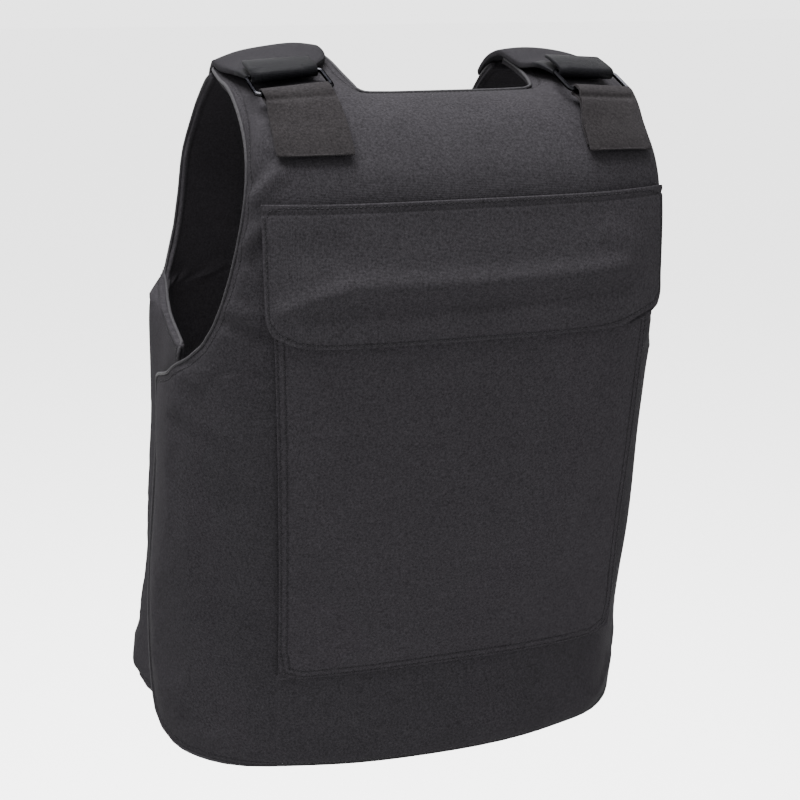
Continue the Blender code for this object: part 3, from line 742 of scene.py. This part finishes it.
def fold_hem(piece):
    """Thickens the tab along its folded lower edge."""
    mesh = piece.data
    points = points_of(mesh)
    above = points[:, 2] - points[:, 2].min()
    distance = np.empty(len(points))
    mesh.attributes["rim"].data.foreach_get("value", distance)
    lift(mesh, TAB_HEM_RISE * (distance < TAB_HEM) * (above < TAB_HEM_UP_TO), fixed_inside=True)


def middle_of(node):
    """The middle of a node's box."""
    corners = [Vector(corner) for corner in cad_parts[node].bound_box]
    return sum(corners, Vector()) / len(corners)


def mark_webbing(piece, middle):
    """Gives the bare webbing round the buckle the second material, which ends in a nearly straight line."""
    for face in piece.data.polygons:
        away = face.center - middle
        away.x *= ACROSS_STRAP
        if away.length < WEBBING_REACH:
            face.material_index = 1


def make_studio():
    scene = bpy.context.scene
    world = bpy.data.worlds.new("studio")
    scene.world = world
    world.use_nodes = True
    background = world.node_tree.nodes["Background"]
    background.inputs["Color"].default_value = (1.0, 1.0, 1.0, 1.0)
    background.inputs["Strength"].default_value = WORLD_STRENGTH
    for lamp in LAMPS:
        data = bpy.data.lights.new(lamp.name, "AREA")
        data.size = lamp.size
        data.energy = lamp.power
        light = bpy.data.objects.new(lamp.name, data)
        scene.collection.objects.link(light)
        light.location = lamp.place
        light.rotation_euler = (LAMPS_AIM - light.location).to_track_quat("-Z", "Y").to_euler()
    bm = bmesh.new()
    bmesh.ops.create_grid(bm, x_segments=2, y_segments=2, size=FLOOR_HALF)
    material, _, shader = new_material("pale_floor")
    shader.inputs["Base Color"].default_value = FLOOR_COLOR
    shader.inputs["Roughness"].default_value = FLOOR_ROUGHNESS
    floor = linked("floor", mesh_of("floor", bm), material)
    floor.location.z = FLOOR_LEVEL


def make_panels(cloths):
    """Both padded panels and their piping, as (piece, rims)."""
    fabric, cord = cloths["panel_cloth"], cloths["piping_cloth"]
    fineness = PANEL_LEVELS, PANEL_CREASE
    back = cover("back_panel_cover", "back_panel", *fineness, PANEL_FOLDS, PANEL_SWELL, fabric)
    front = cover("front_panel_cover", "front_panel", *fineness, (), PANEL_SWELL, fabric)
    for panel, _ in (back, front):
        press_filling(panel)
    piping("back_piping", back[1], cord)
    piping("front_piping", front[1], cord)
    return back, front


def make_pocket(cloths):
    """The pocket and its flap, as (piece, rims)."""
    fineness = PATCH_LEVELS, PATCH_CREASE
    fabric = cloths["pocket_cloth"]
    pocket, pocket_rims = cover("pocket_cloth", "back_pocket", *fineness, POCKET_FOLDS, POCKET_SWELL, fabric)
    fabric = cloths["flap_cloth"]
    flap, flap_rims = cover("flap_cloth", "pocket_flap", *fineness, FLAP_FOLDS, FLAP_SWELL, fabric)
    flap_groove(flap)
    return (pocket, pocket_rims), (flap, flap_rims)


def make_shoulder(side, cloths, wire):
    """One side's buckle, tab and strap."""
    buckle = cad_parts[side + "_buckle"]
    buckle.data.materials.clear()
    buckle.data.materials.append(wire)
    middle = middle_of(side + "_buckle")
    name, node = side + "_tab_tape", side + "_tab"
    tape, folds = cloths["loop_tape"], TAB_FOLDS[side]
    tab, _ = cover(name, node, TAB_LEVELS, TAB_CREASE, folds, None, tape, sewn=TAB_SEWN_WITHIN)
    fold_hem(tab)
    fabrics = cloths["strap_cloth"], cloths["webbing"]
    name, node = side + "_strap_cover", side + "_strap"
    strap, _ = cover(name, node, STRAP_LEVELS, STRAP_CREASE, (), STRAP_SWELL, *fabrics, webbing_at=middle)
    mark_webbing(strap, middle)


def main():
    make_camera()
    make_studio()
    cloths = {name: cloth(name) for name in LOOKS}
    wire = metal("dark_metal")
    back, front = make_panels(cloths)
    pocket, flap = make_pocket(cloths)
    thread = cloths["thread"]
    stitches("back_thread", *back, PANEL_SEAMS, "back_panel", thread)
    stitches("front_thread", *front, PANEL_SEAMS, "front_panel", thread)
    stitches("pocket_thread", *pocket, POCKET_SEAMS, "back_pocket", thread)
    stitches("flap_thread", *flap, FLAP_SEAMS, "pocket_flap", thread)
    for side in ("left", "right"):
        make_shoulder(side, cloths, wire)


main()
